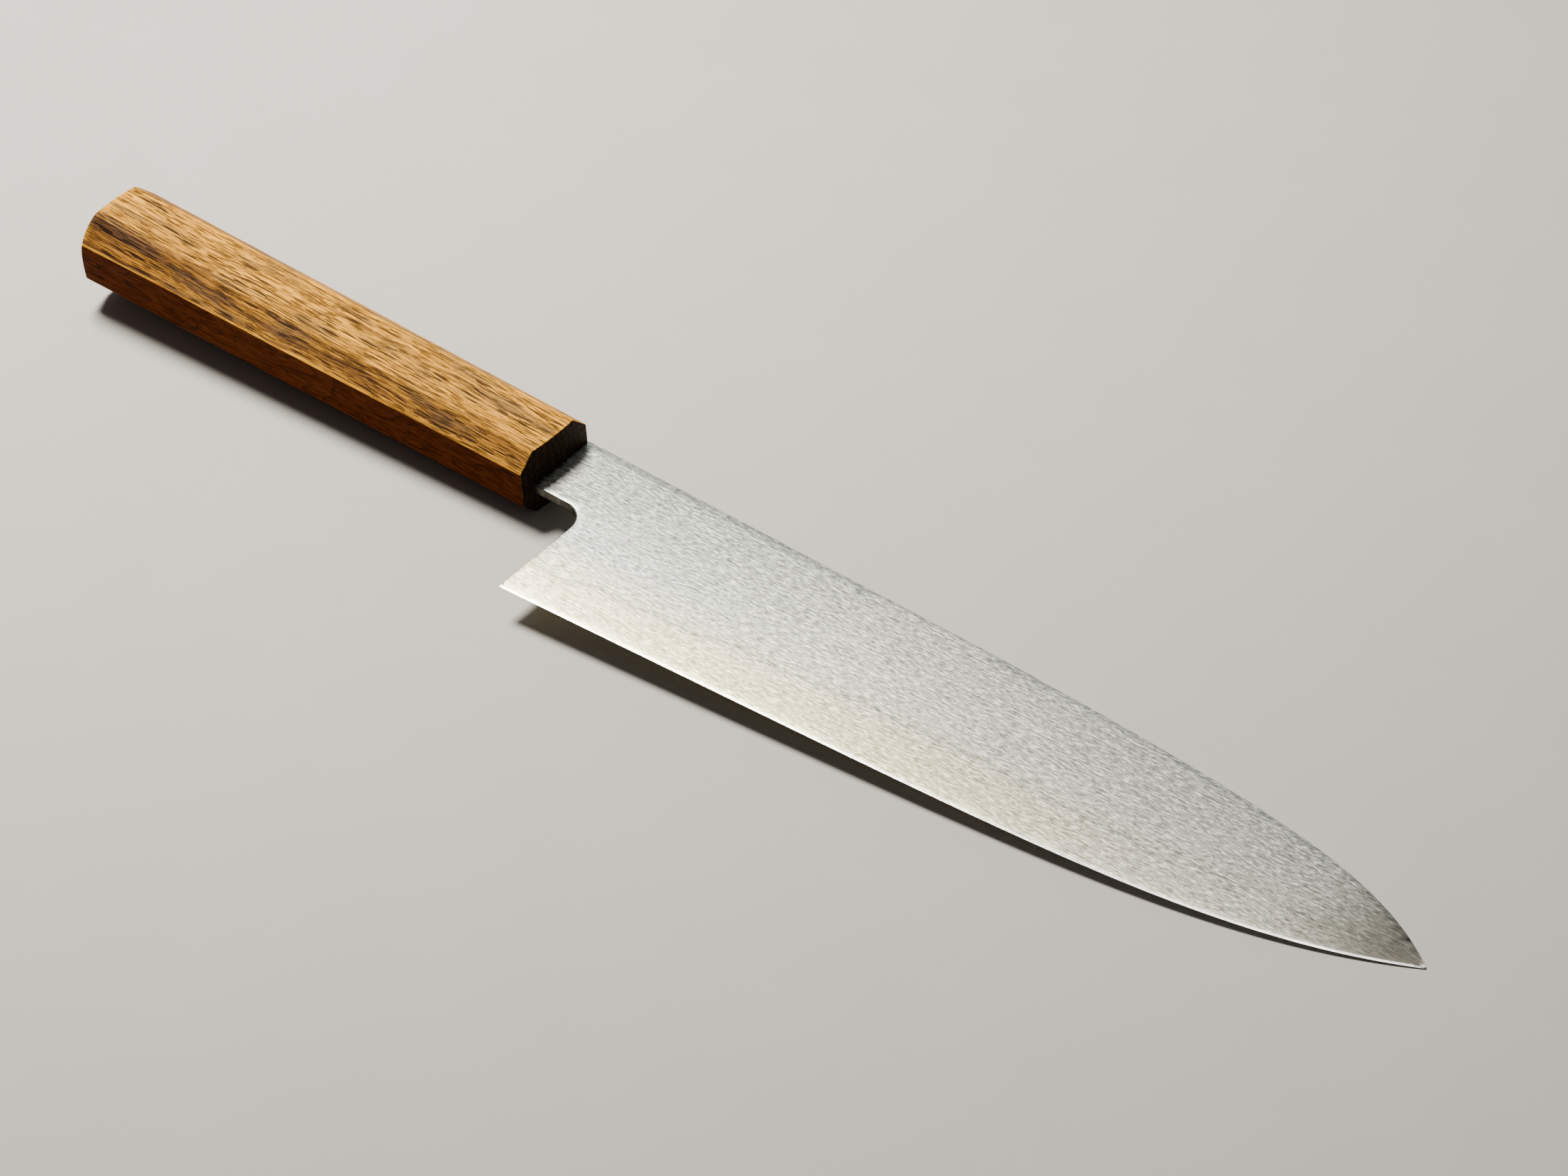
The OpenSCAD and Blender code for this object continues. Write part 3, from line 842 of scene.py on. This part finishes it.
def place_in_row(m):
    """The place of a plain piece in the row frame, in millimetres."""
    place = m.add("ShaderNodeTexCoord").outputs["Object"]
    return m.stretched(place, MM, MM, MM)


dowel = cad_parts["tang_dowel"]
dowel.data.materials.clear()
dowel.data.materials.append(wood_material(
    "dowel_hardwood", pale=(0.62, 0.34, 0.10), deep=(0.30, 0.15, 0.045),
    pore_shade=(0.06, 0.03, 0.012), grey=(0.20, 0.14, 0.08), side_shade=(0.40, 0.20, 0.06),
    place_of=place_in_row))


def resin_material():
    """Cured amber-brown resin with a few fine bubbles and a slightly rippled skin."""
    material = bpy.data.materials.new("cured_resin")
    material.use_nodes = True
    m = NodeBench(material.node_tree)
    bsdf = material.node_tree.nodes["Principled BSDF"]
    place = place_in_row(m)
    ripple = m.noise(m.stretched(place, 6.0, 1.5, 1.5), 1.0, 3.0)
    bubbles = m.add("ShaderNodeTexVoronoi", Vector=m.stretched(place, 0.8, 0.8, 0.8),
                    Scale=1.0).outputs["Distance"]
    bubbles = m.ramp(bubbles, [(0.08, 1.0), (0.16, 0.0)])
    colour = m.mix(ripple, (0.10, 0.06, 0.03, 1), (0.21, 0.13, 0.06, 1))
    m.feed(bsdf, "Base Color", m.mix(m.math("MULTIPLY", bubbles, 0.5), colour,
                                     (0.33, 0.24, 0.14, 1)))
    m.feed(bsdf, "Roughness", m.math("MULTIPLY_ADD", ripple, 0.2, 0.25))
    bump = m.add("ShaderNodeBump", Strength=0.3, Distance=0.0001, Height=ripple)
    m.feed(bsdf, "Normal", bump.outputs["Normal"])
    return material


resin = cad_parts["tang_adhesive"]
resin.data.materials.clear()
resin.data.materials.append(resin_material())


# ---- Studio ------------------------------------------------------------------------------------
# A pale table, a soft key light above the handle's far side, a small one that lights the honed
# bevel, a broad faint one from behind, and a long lens that looks from the edge side.

def stage_floor():
    mesh = bpy.data.meshes.new("table")
    reach = 6.0
    mesh.from_pydata([(-reach, -reach, 0), (reach, -reach, 0), (reach, reach, 0),
                      (-reach, reach, 0)], [], [(0, 1, 2, 3)])
    floor = bpy.data.objects.new("table", mesh)
    bpy.context.collection.objects.link(floor)
    material = bpy.data.materials.new("pale_table")
    material.use_nodes = True
    m = NodeBench(material.node_tree)
    bsdf = material.node_tree.nodes["Principled BSDF"]
    place = m.add("ShaderNodeTexCoord").outputs["Object"]
    mottle = m.noise(place, 40.0, 3.0)
    m.feed(bsdf, "Base Color", m.mix(mottle, (0.50, 0.47, 0.43, 1), (0.53, 0.50, 0.46, 1)))
    m.feed(bsdf, "Roughness", 0.9)
    m.feed(bsdf, "Specular IOR Level", 0.1)
    mesh.materials.append(material)


stage_floor()


def soft_light(name, place, size, power, shade):
    """Square soft box at a place in the row frame, turned to the knife."""
    lamp = bpy.data.lights.new(name, "AREA")
    lamp.shape = "SQUARE"
    lamp.size = size
    lamp.energy = power
    lamp.color = shade
    light = bpy.data.objects.new(name, lamp)
    light.location = place
    light.rotation_euler = (-Vector(place)).to_track_quat("-Z", "Y").to_euler()
    bpy.context.collection.objects.link(light)


soft_light("key", place=(-0.42, 0.13, 0.67), size=0.22, power=16.5, shade=(1.0, 0.97, 0.91))
soft_light("edge", place=(-0.15, 0.36, 0.85), size=0.14, power=0.6, shade=(1.0, 0.98, 0.94))
soft_light("rim", place=(-0.8, 1.5, 0.45), size=1.2, power=7, shade=(0.94, 0.97, 1.0))

world = bpy.data.worlds.new("studio")
world.use_nodes = True
world.node_tree.nodes["Background"].inputs["Color"].default_value = (0.84, 0.87, 0.90, 1)
world.node_tree.nodes["Background"].inputs["Strength"].default_value = 0.10
bpy.context.scene.world = world

CAMERA_AZIMUTH = math.radians(43.12)
CAMERA_ELEVATION = math.radians(40.37)
CAMERA_ROLL = math.radians(-4.65)
CAMERA_DISTANCE = 1.3533
CAMERA_AIM = Vector((0.0094, 0.0188, 0.0))
CAMERA_LENS = 135.1

camera_back = Vector((math.sin(CAMERA_AZIMUTH) * math.cos(CAMERA_ELEVATION),
                      -math.cos(CAMERA_AZIMUTH) * math.cos(CAMERA_ELEVATION),
                      math.sin(CAMERA_ELEVATION)))
camera_data = bpy.data.cameras.new("camera")
camera_data.lens = CAMERA_LENS
camera_data.sensor_width = 36.0
camera = bpy.data.objects.new("camera", camera_data)
camera.location = CAMERA_AIM + camera_back * CAMERA_DISTANCE
camera.rotation_mode = "QUATERNION"
camera.rotation_quaternion = ((-camera_back).to_track_quat("-Z", "Y")
                              @ Quaternion((0, 0, 1), CAMERA_ROLL))
bpy.context.collection.objects.link(camera)
bpy.context.scene.camera = camera
